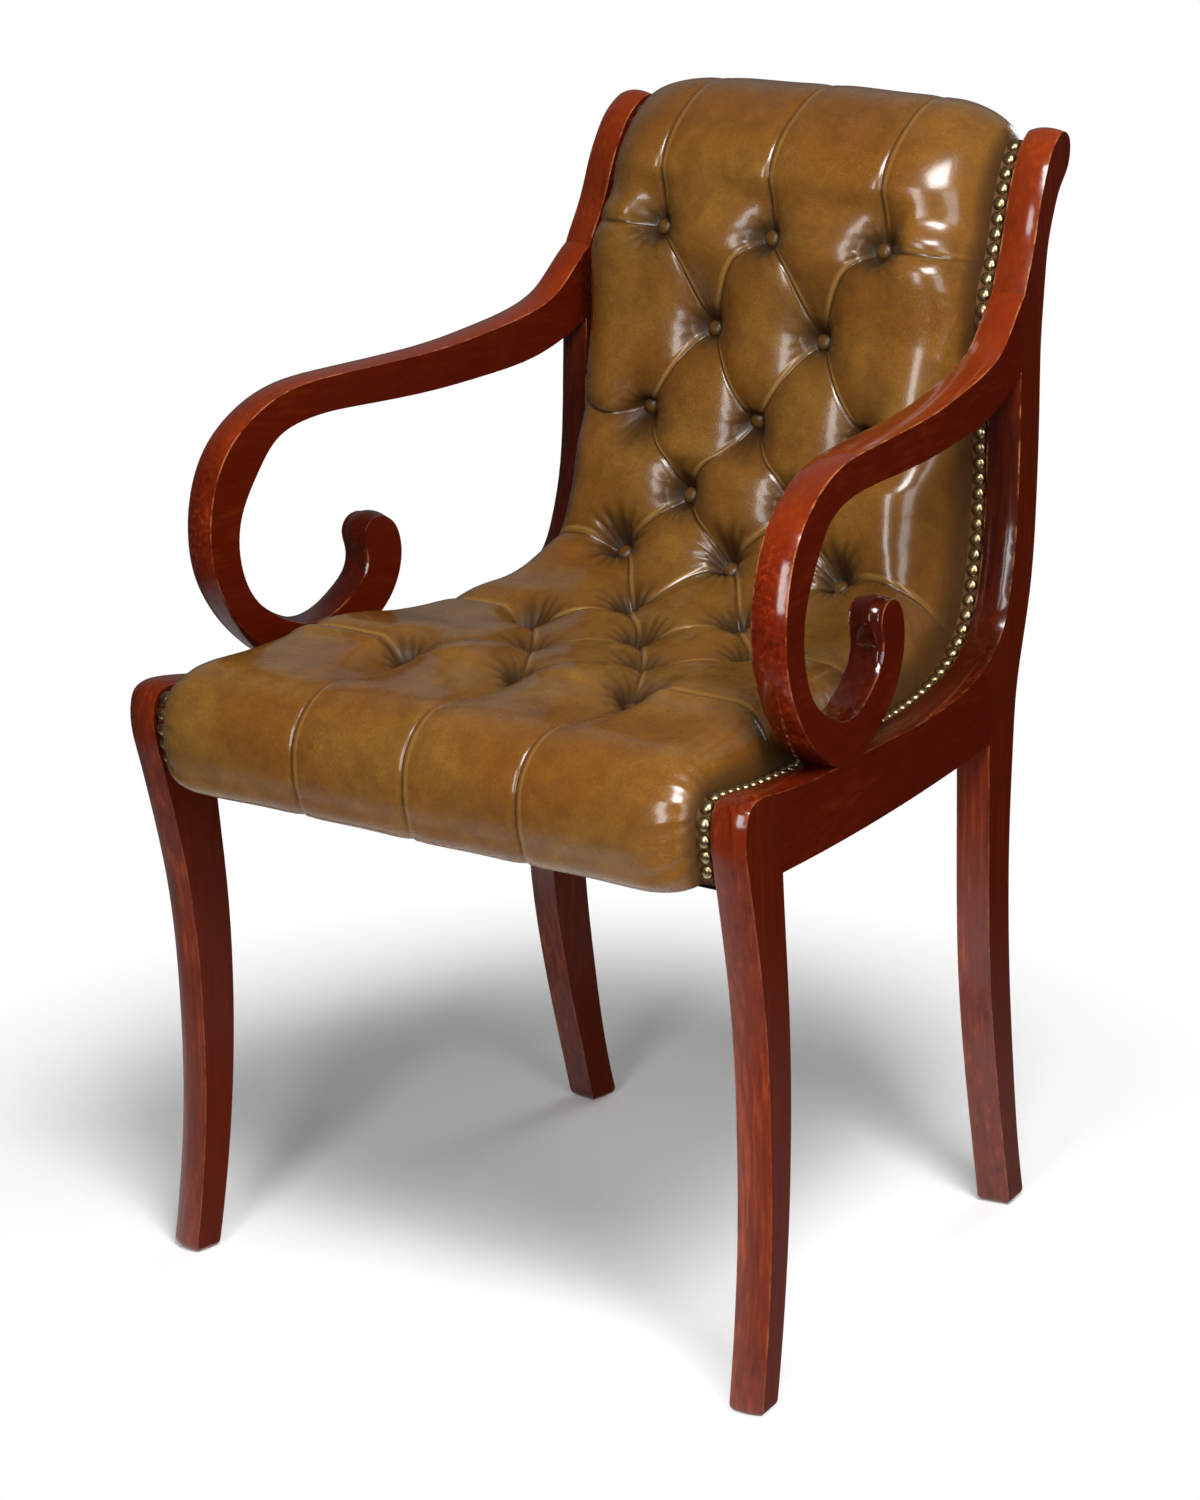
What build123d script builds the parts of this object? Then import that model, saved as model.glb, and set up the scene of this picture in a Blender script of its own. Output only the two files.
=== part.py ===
"""Scroll-arm dining armchair with a deep-buttoned leather seat and back.

Two hardwood side frames stand toed in towards the back. Each one is a sabre front leg, a
side rail, a swept rear leg that runs on up as the back upright, and a scrolled arm, all
dowelled edge to edge. Cross rails and corner blocks tie the frames together. Liners inside
the frames carry the upholstery: webbing, foam, buttoned pads and close-set nails.

Side outlines are drawn in the plane of a side frame: a runs towards the back from the datum
line and z runs up from the floor. Depth runs inwards from the outer face of the frame.
"""
import os
from math import cos, hypot, radians, sin, sqrt, tan

from build123d import *

# Side frames
DATUM_WIDTH = 508.5         # over both outer faces, on the datum line
TOE_IN = 8.15               # degrees that each frame turns in towards the back
BOARD = 28.0                # thickness of the show wood
CROWN = 2.6                 # rise of a rounded edge over its two arrises
FOOT_ROUND = 7.0            # radius round the edges of each foot

# Dowels
DOWEL_DIAMETER = 8.0
DOWEL_REACH = 18.0          # into each of the two pieces that it joins

# Liners and cross rails
LEDGE = 4.0                 # the liner's nailing edge lies this far inside the show edge
LINER = 14.0                # thickness of the liners
LINER_DEEP = 20.0           # depth of the back liner, behind its nailing edge
RAIL_BOTTOM = 410.0         # underside of the front and rear seat rails
RAIL_TOP = 447.0
FRONT_RAIL = 26.0           # thickness of the front seat rail
REAR_RAIL = 24.0
REAR_RAIL_TOP = 453.0
REAR_RAIL_SET = 16.0        # the rear rail stands this far behind the front of the rear legs
BACK_RAIL = 14.0            # thickness of the two back rails
BACK_SET = 3.0              # they lie this far behind the nailing edges
LOWER_BACK_RAIL = (500.0, 540.0)
CREST_RAIL = (803.0, 852.0)
OUTSIDE_BACK_TOP = 838.0
ARM_TOP_DOWELS = [(231, 704), (231, 721)]
ARM_FOOT_DOWELS = [(-92, 462), (-70, 462)]
CROSS_WEB_SHARES = (0.25, 0.5, 0.75)
# Points of the show edge where the liners start, join and end, and back rails are dowelled
KNEE_INDEX = 6
LINER_JOINT_INDEX = 20
LINER_END_INDEX = 34
BACK_RAIL_DOWELS = (23, 31, 33)

# Corner blocks and their screws
BLOCK_LEG = 52.0
BLOCK_HEIGHT = 30.0
SCREW_DIAMETER = 5.0
SCREW_HEAD = 9.5
SCREW_HEAD_THICK = 2.5
SCREW_REACH = 12.0          # into the rail behind the block

# Webbing, foam, outside back and dust cover
WEB_WIDE = 50.0
WEB_THICK = 2.0
WEB_SPACING = 105.0
CLOTH = 0.8
BACK_BOARD = 3.0
SOFT_GAP = 0.3              # between a soft piece and what it rests on

# Buttoned pads
BUTTON_SPACING = 105.0
BUTTON_DIAMETER = 15.0
BUTTON_DOME = 4.0
PUFF = 24.0                 # rise of a full pillow over its buttons
ROLL_PUFF = 6.0             # rise between the pleats of the front and top rolls
PLEAT_LIFT = 0.55           # share of the puff that a pleat rises to, half way between rows
PAD_SIDE = 9.0              # height of the pad's drawn-in side
SIDE_PLEAT = 0.3            # share of the puff at the pleats that run out to the sides
SIDE_CREST = 0.85           # share of the puff on the side pillows between those pleats
SIDE_SPREAD = 3.0           # how fast a side pillow fills beside its pleat
PILLOW_RISE = 1.5           # power of a pillow's width that its rise follows

# Nails
NAIL_DIAMETER = 11.0
NAIL_DOME = 4.0
NAIL_PITCH = 12.0
NAIL_TAPER = 38.0
NAIL_SIDES = 6

# Outlines of a side frame, on its arrises. The show edge runs from the front foot over the
# knee, back along the rail and up the upright to the top scroll.
SHOW_EDGE = [
    (-228, -4), (-219.5, 45), (-211, 120), (-209.5, 200), (-216, 300), (-233, 387),
    (-239, 412), (-245, 440), (-244.5, 456), (-240, 467), (-231, 471.5), (-218, 472),
    (-190, 468), (-150, 463.5), (-125, 461.5), (-46, 459), (20, 456), (62, 455), (105, 457),
    (140, 461.5), (170, 470.5), (188, 481), (203, 497), (213, 520), (221.5, 552), (227, 600),
    (229, 640), (230, 690), (233, 741), (246, 768), (256, 790), (265, 815), (274, 833),
    (284, 848), (296, 858), (309, 862.5),
]
REAR_EDGE = [
    (319.5, 856.5), (321.5, 847), (316, 833), (303, 821), (290, 802), (280, 780), (274, 750),
    (268, 710), (266, 660), (261.5, 580), (251, 512), (238, 474), (226, 438), (219.5, 390),
    (214.5, 330), (213.5, 265), (217, 197), (225, 126), (236, 53), (250, -4),
]
REAR_LEG_FRONT = [(222, -4), (206, 64), (190, 138), (179, 209), (175, 280), (174, 404)]
RAIL_UNDERSIDE = [(174, 404), (80, 401.5), (-80, 403), (-188, 408)]
FRONT_LEG_REAR = [(-188, 408), (-184, 357), (-179, 295), (-177.5, 230), (-184, 120), (-205, -4)]
RAIL_REGION = [(-188, 600), (-188, 408), (-150, 380), (150, 380), (174, 404), (188, 600)]

# Outline of an arm, from the upright: forward under the arm, round the loop and over the tip of
# the curl, then back under the scroll and round its front to the top.
ARM_EDGE = [
    (240, 695), (205, 676), (170, 665), (120, 659), (60, 656), (-20, 657), (-80, 655),
    (-108, 646), (-131, 621), (-149, 588), (-151, 555), (-138, 523), (-110, 501), (-80, 491.5),
    (-58, 494.5), (-37, 506), (-20, 524), (-19, 536), (-22, 551), (-17.5, 560), (-5, 564),
    (8, 558), (16, 541), (15, 520), (1, 494), (-24, 475), (-54, 460), (-80, 456), (-104, 464),
    (-136, 486), (-161, 515), (-176.5, 548), (-180, 578), (-175, 612), (-160, 642),
    (-135, 664), (-95, 680.5), (-43, 685), (22, 686), (83, 689), (130, 695), (172, 703),
    (198, 714), (217, 731), (240, 750),
]

# Rows of buttons, front to back and up: the show-edge point behind each row, and the place
# (y, z) of its buttons. Rows of three and of two take turns, with three in the first.
ROWS = [
    (14, (-125, 485)), (15, (-45, 476)), (16, (23, 475)), (18, (89, 482)), (21, (152, 516)),
    (24, (172, 567)), (26, (192, 630)), (27, (209, 697)), (29, (214, 773)),
]
# Rolls without buttons, at the front and the top: show-edge point and outer face (y, z).
FRONT_ROLL = [
    (6, (-253, 405)), (7, (-262, 425)), (8, (-264, 450)), (9, (-255, 474)), (10, (-240, 487)),
    (12, (-186, 494)),
]
TOP_ROLL = [
    (30, (210, 802)), (31, (213, 825)), (32, (226, 846)), (33, (252, 866)), (34, (286, 876)),
]
# The top roll turns down behind the crest rail: inner and outer face (y, z).
TOP_ROLL_BACK = [((302, 848), (317, 869)), ((306, 839), (332, 847)), ((304, 830), (330, 829))]
STEPS_BETWEEN_ROWS = 4
PAD_JOINT = 3.5             # seat and back pad meet half way between the fourth and fifth rows

turn = radians(TOE_IN)
SIDE = Plane(
    origin=(DATUM_WIDTH / 2, 0, 0),
    x_dir=(-sin(turn), cos(turn), 0),
    z_dir=(cos(turn), sin(turn), 0),
)
FAR = 1500.0                # reach of the cutting shapes, past every piece
liner_face = BOARD + LINER  # depth of the liners' inner faces
pad_edge = liner_face + SOFT_GAP

parts = {}


def raised(points, rise):
    """The points of an edge, moved square to it by rise, towards its left."""
    moved = []
    last = len(points) - 1
    for i, (a, z) in enumerate(points):
        a_before, z_before = points[max(i - 1, 0)]
        a_after, z_after = points[min(i + 1, last)]
        run = hypot(a_after - a_before, z_after - z_before)
        moved.append((a - rise * (z_after - z_before) / run, z + rise * (a_after - a_before) / run))
    return moved


def half_width(y, depth):
    """Half the space between the two frames at y, that depth inside their outer faces."""
    return DATUM_WIDTH / 2 - depth / cos(turn) - y * tan(turn)


def mid_y(a, depth=liner_face):
    """The y of a point of the side outline, where it meets the liners' inner faces."""
    return a * cos(turn) - depth * sin(turn)


def in_side(outline, depth_from, depth_to):
    """A flat piece of the right side frame, from a closed outline."""
    return extrude(SIDE.offset(-depth_to) * make_face(outline), depth_to - depth_from)


def between_sides(depth):
    """The space between the two frames, that depth inside their outer faces."""
    front = half_width(-FAR, depth)
    rear = half_width(FAR / 3, depth)
    corners = [(-front, -FAR), (front, -FAR), (rear, FAR / 3), (-rear, FAR / 3)]
    return extrude(make_face(Polyline(*corners, close=True)), FAR)


def mirrored(shape):
    """The left-hand twin of a right-hand piece."""
    return mirror(shape, Plane.YZ)


def add_pair(name, right):
    parts[name + "_right"] = right
    parts[name + "_left"] = mirrored(right)


# Side frames: one crowned board outline, parted at the joints into leg, rail and upright

def frame_face(depth, rise):
    show = raised(SHOW_EDGE + REAR_EDGE, rise)[:len(SHOW_EDGE)]
    outline = Wire([
        Spline(*show, *REAR_EDGE),
        Line(REAR_EDGE[-1], REAR_LEG_FRONT[0]),
        Spline(*REAR_LEG_FRONT),
        Spline(*RAIL_UNDERSIDE),
        Spline(*FRONT_LEG_REAR),
        Line(FRONT_LEG_REAR[-1], show[0]),
    ])
    return SIDE.offset(-depth) * Face(outline)


above_floor = Pos(0, 0, FAR / 2) * Box(FAR, FAR, FAR)
board = loft([frame_face(0, 0), frame_face(BOARD / 2, CROWN), frame_face(BOARD, 0)]) & above_floor
rail_region = in_side(Polyline(*RAIL_REGION, close=True), -BOARD, 2 * BOARD)
side_rail = board & rail_region
front_leg, rear_leg = (board - rail_region).solids().sort_by(Axis.Y)


def with_foot(leg):
    """A leg with the edges of its foot rounded over."""
    return leg.solid().fillet(FOOT_ROUND, leg.faces().sort_by(Axis.Z)[0].edges())


def arm_face(depth, rise):
    edge = raised(ARM_EDGE, rise)
    return SIDE.offset(-depth) * Face(Wire([Spline(*edge), Line(edge[-1], edge[0])]))


arm = loft([arm_face(0, 0), arm_face(BOARD / 2, CROWN), arm_face(BOARD, 0)])
arm = arm - side_rail - rear_leg

# Liners inside the frames, whose nailing edges follow the show edge
ledge = raised(SHOW_EDGE + REAR_EDGE, -LEDGE)
liner_rear = raised(SHOW_EDGE + REAR_EDGE, -LEDGE - LINER_DEEP)
liner_bottom = RAIL_BOTTOM - WEB_THICK
seat_ledge = ledge[KNEE_INDEX:LINER_JOINT_INDEX + 1]
back_ledge = ledge[LINER_JOINT_INDEX:LINER_END_INDEX + 1]
seat_corners = [
    seat_ledge[-1], (seat_ledge[-1][0], liner_bottom), (seat_ledge[0][0], liner_bottom), seat_ledge[0],
]
back_rear = liner_rear[LINER_JOINT_INDEX:LINER_END_INDEX + 1]
seat_liner = in_side([Spline(*seat_ledge), Polyline(*seat_corners)], BOARD, liner_face)
back_liner = in_side([
    Spline(*back_ledge),
    Line(back_ledge[-1], back_rear[-1]),
    Spline(*reversed(back_rear)),
    Line(back_rear[0], back_ledge[0]),
], BOARD, liner_face)

# Cross rails
front_rail_y = mid_y(seat_ledge[0][0]) + SOFT_GAP
front_rail = Pos(0, front_rail_y + FRONT_RAIL / 2, (RAIL_BOTTOM + RAIL_TOP) / 2) * Box(
    FAR, FRONT_RAIL, RAIL_TOP - RAIL_BOTTOM)
front_rail = front_rail & between_sides(liner_face)
rear_rail_y = mid_y(RAIL_UNDERSIDE[0][0], BOARD) + REAR_RAIL_SET
rear_rail = Pos(0, rear_rail_y + REAR_RAIL / 2, (RAIL_BOTTOM + REAR_RAIL_TOP) / 2) * Box(
    FAR, REAR_RAIL, REAR_RAIL_TOP - RAIL_BOTTOM)
rear_rail = rear_rail & between_sides(BOARD)


def back_layer(front, rear, low, high, depth, width=FAR):
    """A layer of the back that follows the show edge, front to rear behind the nailing edge."""
    line = slice(LINER_JOINT_INDEX - 1, LINER_END_INDEX + 1)
    face_depth = min(depth, liner_face)
    near = [(mid_y(a, face_depth), z) for a, z in raised(SHOW_EDGE + REAR_EDGE, -LEDGE - front)[line]]
    far = [(mid_y(a, face_depth), z) for a, z in raised(SHOW_EDGE + REAR_EDGE, -LEDGE - rear)[line]]
    outline = [Spline(*near), Line(near[-1], far[-1]), Spline(*reversed(far)), Line(far[0], near[0])]
    layer = extrude(Plane.YZ * make_face(outline), width / 2, both=True)
    slab = Pos(0, 0, (low + high) / 2) * Box(FAR, FAR, high - low)
    return layer & slab & between_sides(depth)


rail_back = BACK_SET + BACK_RAIL
lower_back_rail = back_layer(BACK_SET, rail_back, *LOWER_BACK_RAIL, liner_face)
crest_rail = back_layer(BACK_SET, rail_back, *CREST_RAIL, liner_face)
board_front = LINER_DEEP + SOFT_GAP
outside_back = back_layer(
    board_front, board_front + BACK_BOARD, REAR_RAIL_TOP + SOFT_GAP, OUTSIDE_BACK_TOP, BOARD + SOFT_GAP)

# Dowels: in the plane of a side frame, and across from a frame into the ends of a rail


def dowel(a, z, upright=False):
    """A dowel in the middle of the board, lying along the rail or standing upright."""
    angle = (90, 0, 0) if upright else (0, 90, 0)
    middle = SIDE.offset(-BOARD / 2) * Location((a, z, 0), angle)
    return middle * Cylinder(DOWEL_DIAMETER / 2, 2 * DOWEL_REACH)


def cross_dowel(a, z, face):
    """A dowel square to the side frame, from the middle of the board into a rail end at face."""
    inner = face + DOWEL_REACH
    middle = SIDE.offset(-(BOARD / 2 + inner) / 2) * Location((a, z, 0))
    return middle * Cylinder(DOWEL_DIAMETER / 2, inner - BOARD / 2)


def side_a(y, depth):
    """The a of a point at y, that depth inside the outer face."""
    return (y + depth * sin(turn)) / cos(turn)


rail_quarter = (RAIL_TOP - RAIL_BOTTOM) / 4
rail_heights = (RAIL_BOTTOM + rail_quarter, RAIL_TOP - rail_quarter)
rail_middle = (RAIL_BOTTOM + RAIL_TOP) / 2
side_heights = (rail_middle, RAIL_TOP + DOWEL_DIAMETER / 2)
back_middle = raised(SHOW_EDGE + REAR_EDGE, -LEDGE - (BACK_SET + rail_back) / 2)
side_dowels = [dowel(RAIL_REGION[1][0], z) for z in side_heights]
side_dowels += [dowel(RAIL_REGION[4][0] + LEDGE / 2, z) for z in side_heights]
side_dowels += [dowel(a, z) for a, z in ARM_TOP_DOWELS]
side_dowels += [dowel(a, z, upright=True) for a, z in ARM_FOOT_DOWELS]
front_a = side_a(front_rail_y + FRONT_RAIL / 2, liner_face)
rear_a = side_a(rear_rail_y + REAR_RAIL / 2, BOARD)
cross_dowels = [cross_dowel(front_a, z, liner_face) for z in rail_heights]
cross_dowels += [cross_dowel(rear_a, z, BOARD) for z in rail_heights]
cross_dowels += [cross_dowel(*back_middle[i], liner_face) for i in BACK_RAIL_DOWELS]
cross_pairs = cross_dowels + [mirrored(pin) for pin in cross_dowels]

# Corner blocks, glued and screwed into the four corners of the seat frame


def corner_block(y, into):
    """A block in the right-hand corner at y, reaching along the liner in the direction into."""
    far_y = y + into * BLOCK_LEG
    corner = (half_width(y, liner_face), y)
    along_rail = (corner[0] - BLOCK_LEG, y)
    along_liner = (half_width(far_y, liner_face), far_y)
    plan = make_face(Polyline(corner, along_rail, along_liner, close=True))
    return Pos(0, 0, RAIL_BOTTOM) * extrude(plan, BLOCK_HEIGHT)


def corner_screw(y, into):
    """The screw of that block, square to its long face, with its head on that face."""
    far_y = y + into * BLOCK_LEG
    near_x = half_width(y, liner_face) - BLOCK_LEG
    far_x = half_width(far_y, liner_face)
    middle = Vector((near_x + far_x) / 2, (y + far_y) / 2, rail_middle)
    face = Vector(far_x - near_x, far_y - y, 0).normalized()
    axis = Vector(face.Y * into, -face.X * into, 0)
    place = Plane(origin=middle, z_dir=axis)
    length = BLOCK_LEG / sqrt(2) + SCREW_REACH
    shank = extrude(place * Circle(SCREW_DIAMETER / 2), length)
    head = extrude(place * Circle(SCREW_HEAD / 2), -SCREW_HEAD_THICK)
    return shank + head


front_corner = (front_rail_y + FRONT_RAIL, 1)
rear_corner = (rear_rail_y, -1)
front_block = corner_block(*front_corner)
rear_block = corner_block(*rear_corner)
screws = [corner_screw(*front_corner), corner_screw(*rear_corner)]


def drilled(piece, pins):
    """A piece with the holes of the pins that go into it."""
    for pin in pins:
        piece = piece - pin
    return piece


add_pair("front_leg", with_foot(drilled(front_leg, side_dowels + cross_dowels + screws)))
add_pair("rear_leg", with_foot(drilled(rear_leg, side_dowels + cross_dowels + screws)))
add_pair("side_rail", drilled(side_rail, side_dowels))
add_pair("arm", drilled(arm, side_dowels))
add_pair("seat_liner", drilled(seat_liner, cross_dowels + screws))
add_pair("back_liner", drilled(back_liner, cross_dowels))
screw_pairs = screws + [mirrored(screw) for screw in screws]
parts["front_seat_rail"] = drilled(front_rail, cross_pairs + screw_pairs)
parts["rear_seat_rail"] = drilled(rear_rail, cross_pairs + screw_pairs)
parts["lower_back_rail"] = drilled(lower_back_rail, cross_pairs)
parts["crest_rail"] = drilled(crest_rail, cross_pairs)
add_pair("front_corner_block", drilled(front_block, screws))
add_pair("rear_corner_block", drilled(rear_block, screws))
add_pair("frame_dowels", Compound(side_dowels))
add_pair("rail_dowels", Compound(cross_dowels))
parts["corner_screws"] = Compound(screw_pairs)
parts["outside_back"] = outside_back

# Webbing under the seat rails and behind the back rails, the foam over it, the dust cover


def web_strip(x, y_from, y_to, top):
    return Pos(x, (y_from + y_to) / 2, top - WEB_THICK / 2) * Box(WEB_WIDE, y_to - y_from, WEB_THICK)


web_columns = (-WEB_SPACING, 0, WEB_SPACING)
rear_rail_back = rear_rail_y + REAR_RAIL
parts["seat_webbing_long"] = Compound(
    [web_strip(x, front_rail_y, rear_rail_back, RAIL_BOTTOM) for x in web_columns])
cross_rows = [front_rail_y + (rear_rail_y - front_rail_y) * share for share in CROSS_WEB_SHARES]
cross_strip = Pos(0, 0, liner_bottom - WEB_THICK / 2) * Box(FAR, WEB_WIDE, WEB_THICK)
parts["seat_webbing_cross"] = Compound(
    [(Pos(0, y, 0) * cross_strip & between_sides(BOARD + SOFT_GAP)).solid() for y in cross_rows])
back_strip = back_layer(
    rail_back, rail_back + WEB_THICK, LOWER_BACK_RAIL[0], CREST_RAIL[1], liner_face, WEB_WIDE)
parts["back_webbing"] = Compound([(Pos(x, 0, 0) * back_strip).solid() for x in web_columns])
cover_middle = (front_rail_y + rear_rail_back) / 2
dust_cover = Pos(0, cover_middle, liner_bottom - WEB_THICK - CLOTH / 2) * Box(
    FAR, rear_rail_back - front_rail_y, CLOTH)
parts["dust_cover"] = dust_cover & between_sides(BOARD + SOFT_GAP)

foam_front = front_rail_y + FRONT_RAIL + SOFT_GAP
foam_rear = rear_rail_y - SOFT_GAP
foam_depth = liner_face + SOFT_GAP
foam_cut = BLOCK_LEG + 2 * SCREW_HEAD_THICK
foam_right = [
    (half_width(foam_front, foam_depth) - foam_cut, foam_front),
    (half_width(foam_front + foam_cut, foam_depth), foam_front + foam_cut),
    (half_width(foam_rear - foam_cut, foam_depth), foam_rear - foam_cut),
    (half_width(foam_rear, foam_depth) - foam_cut, foam_rear),
]
foam_left = [(-x, y) for x, y in reversed(foam_right)]
foam_plan = make_face(Polyline(*foam_right, *foam_left, close=True))
parts["seat_foam"] = Pos(0, 0, RAIL_BOTTOM + SOFT_GAP) * extrude(foam_plan, RAIL_TOP - RAIL_BOTTOM)
parts["back_foam"] = back_layer(
    2 * BACK_SET, rail_back - SOFT_GAP, LOWER_BACK_RAIL[1] + SOFT_GAP, CREST_RAIL[0] - SOFT_GAP,
    liner_face + SOFT_GAP)

# Buttoned pads: sections square to the profile, lofted from the front edge over seat and back


def blend(points, i, share):
    """A point between points i and i + 1, on a smooth curve through all of them."""
    before = points[max(i - 1, 0)]
    start = points[i]
    end = points[i + 1]
    after = points[min(i + 2, len(points) - 1)]
    result = []
    for p, q, r, t in zip(before, start, end, after):
        bend = 2 * p - 5 * q + 4 * r - t
        twist = 3 * q - p - 3 * r + t
        result.append(q + share / 2 * (r - p + share * (bend + share * twist)))
    return tuple(result)


def pad_section(inner, outer, share, puff):
    """One section, from its points on the nailing line and at button depth. The share is 0
    on a row of three buttons and 1 on a row of two."""
    depth = hypot(outer[0] - inner[0], outer[1] - inner[1])
    along = ((outer[0] - inner[0]) / depth, (outer[1] - inner[1]) / depth)
    seat = BUTTON_DIAMETER / 2

    def at(x, height):
        return (x, inner[0] + along[0] * height, inner[1] + along[1] * height)

    def edge(height):
        return half_width(inner[0] + along[0] * height, pad_edge)

    half_step = BUTTON_SPACING / 2
    near = seat + (half_step - 2 * seat) * share
    far = BUTTON_SPACING - (half_step - seat) * share
    valley = depth + puff * PLEAT_LIFT * (1 - (2 * share - 1) ** 2)
    side = edge(PAD_SIDE)
    shoulder = depth + puff * (SIDE_PLEAT + (SIDE_CREST - SIDE_PLEAT) * min(1, SIDE_SPREAD * share))
    spots = [-side, -far, -near, near, far, side]
    heights = [PAD_SIDE, valley, valley, valley, valley, PAD_SIDE]
    full = BUTTON_SPACING - 2 * seat
    outer_top = valley + puff * ((far - near) / full) ** PILLOW_RISE
    middle_top = valley + puff * (2 * near / full) ** PILLOW_RISE
    tops = [shoulder, outer_top, middle_top, outer_top, shoulder]
    lines = [Line(at(-edge(0), 0), at(-side, PAD_SIDE))]
    for i, top in enumerate(tops):
        start = at(spots[i], heights[i])
        crest = at((spots[i] + spots[i + 1]) / 2, top)
        end = at(spots[i + 1], heights[i + 1])
        lines.append(ThreePointArc(start, crest, end))
    lines.append(Line(at(side, PAD_SIDE), at(edge(0), 0)))
    lines.append(Line(at(edge(0), 0), at(-edge(0), 0)))
    return Face(Wire(lines))


pad_inner = [(mid_y(a), z) for a, z in ledge]
front_places = [(pad_inner[point], outer) for point, outer in FRONT_ROLL]
row_places = [(pad_inner[point], outer) for point, outer in ROWS]
top_places = [(pad_inner[point], outer) for point, outer in TOP_ROLL] + TOP_ROLL_BACK
outer_line = [outer for inner, outer in front_places + row_places + top_places]
seat_sections = [pad_section(*place, 0, ROLL_PUFF) for place in front_places]
back_sections = []
for row in range(len(ROWS) - 1):
    for step in range(STEPS_BETWEEN_ROWS):
        share = step / STEPS_BETWEEN_ROWS
        position = row + share
        point = ROWS[row][0] + share * (ROWS[row + 1][0] - ROWS[row][0])
        inner = blend(pad_inner, int(point), point - int(point))
        outer = blend(outer_line, len(FRONT_ROLL) + row, share)
        section = pad_section(inner, outer, share if row % 2 == 0 else 1 - share, PUFF)
        if position <= PAD_JOINT:
            seat_sections.append(section)
        if position >= PAD_JOINT:
            back_sections.append(section)
back_sections.append(pad_section(*row_places[-1], 0, PUFF))
back_sections += [pad_section(*place, 0, ROLL_PUFF) for place in top_places]

button_round = BUTTON_DIAMETER / 2
dome_radius = (button_round ** 2 + BUTTON_DOME ** 2) / (2 * BUTTON_DOME)
button = Pos(0, 0, BUTTON_DOME - dome_radius) * Sphere(dome_radius)
button = button & Pos(0, 0, dome_radius) * Box(4 * dome_radius, 4 * dome_radius, 2 * dome_radius)
pocket = Pos(0, 0, PUFF) * Cylinder(button_round + SOFT_GAP, 2 * PUFF)
buttons = []
pockets = []
for row, (inner, outer) in enumerate(row_places):
    columns = (-BUTTON_SPACING, 0, BUTTON_SPACING)
    if row % 2:
        columns = (-BUTTON_SPACING / 2, BUTTON_SPACING / 2)
    out = (0, outer[0] - inner[0], outer[1] - inner[1])
    for x in columns:
        place = Plane(origin=(x, *outer), x_dir=(1, 0, 0), z_dir=out)
        buttons.append((place * button).solid())
        pockets.append((place * pocket).solid())

parts["seat_pad"] = loft(seat_sections, ruled=True) - Compound(pockets)
parts["back_pad"] = loft(back_sections, ruled=True) - Compound(pockets)
parts["buttons"] = Compound(buttons)

# Close-set nails along the nailing edges of the liners
nail_line = Spline(*ledge[KNEE_INDEX:LINER_END_INDEX + 1])
nail_count = int(nail_line.length / NAIL_PITCH)
nails = []
for i in range(nail_count):
    share = (i + 0.5) / nail_count
    run = nail_line % share
    out = Vector(-run.Y, run.X, 0)
    spot = nail_line @ share + out * 2 * SOFT_GAP
    place = SIDE.offset(-BOARD - LINER / 2) * Plane(origin=spot, z_dir=out).location
    rim = place * RegularPolygon(NAIL_DIAMETER / 2, NAIL_SIDES)
    nails.append(extrude(rim, NAIL_DOME, taper=NAIL_TAPER))
add_pair("nails", Compound([nail.solid() for nail in nails]))

# The chair stands on its feet, with the middle of its length and width over the origin
whole = Compound(children=[Compound(shape.solids()) for shape in parts.values()]).bounding_box()
to_origin = Pos(0, -(whole.min.Y + whole.max.Y) / 2, -whole.min.Z)
os.makedirs("parts", exist_ok=True)
for name, shape in parts.items():
    export_step(to_origin * shape, f"parts/{name}.step")
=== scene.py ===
"""Looks of a scroll-arm dining armchair: polished mahogany side frames, a deep-buttoned
leather seat and back, close-set brass nails, and the plain upholstery behind and below."""
import math

import bmesh
import bpy
import numpy as np
from mathutils import Matrix, Vector


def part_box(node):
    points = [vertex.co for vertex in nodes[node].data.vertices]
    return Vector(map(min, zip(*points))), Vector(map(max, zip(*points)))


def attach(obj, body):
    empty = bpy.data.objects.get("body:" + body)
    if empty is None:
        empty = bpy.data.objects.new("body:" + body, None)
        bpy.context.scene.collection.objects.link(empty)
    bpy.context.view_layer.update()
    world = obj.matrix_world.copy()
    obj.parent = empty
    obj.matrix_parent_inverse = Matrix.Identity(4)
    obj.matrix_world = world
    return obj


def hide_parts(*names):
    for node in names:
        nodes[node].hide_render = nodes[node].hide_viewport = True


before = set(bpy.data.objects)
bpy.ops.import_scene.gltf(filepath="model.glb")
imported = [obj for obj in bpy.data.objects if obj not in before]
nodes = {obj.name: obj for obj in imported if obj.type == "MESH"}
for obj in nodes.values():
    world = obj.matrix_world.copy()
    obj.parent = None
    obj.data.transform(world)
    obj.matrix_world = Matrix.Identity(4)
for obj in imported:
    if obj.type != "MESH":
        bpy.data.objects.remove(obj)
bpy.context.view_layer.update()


# Show wood: two side frames of polished mahogany, each a sabre leg, a side rail, a rear leg
# that runs on up as the upright, and a scrolled arm, dowelled together. French polish gives
# the crowned edges a red-gold gloss, and use has rubbed the arrises pale. The flat sides
# carry painted shade, the upward tops by the arms a painted highlight, and the crowns behind
# the scrolls painted shade.

MM = 0.001
TOE_IN = math.radians(8.15)
FRAME_HALF = 254.25 * MM        # half the width over both frames, on the datum line
DATUM_Y = -33.96 * MM           # the datum line lies in front of the chair's middle
BOARD = 28 * MM


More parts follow.
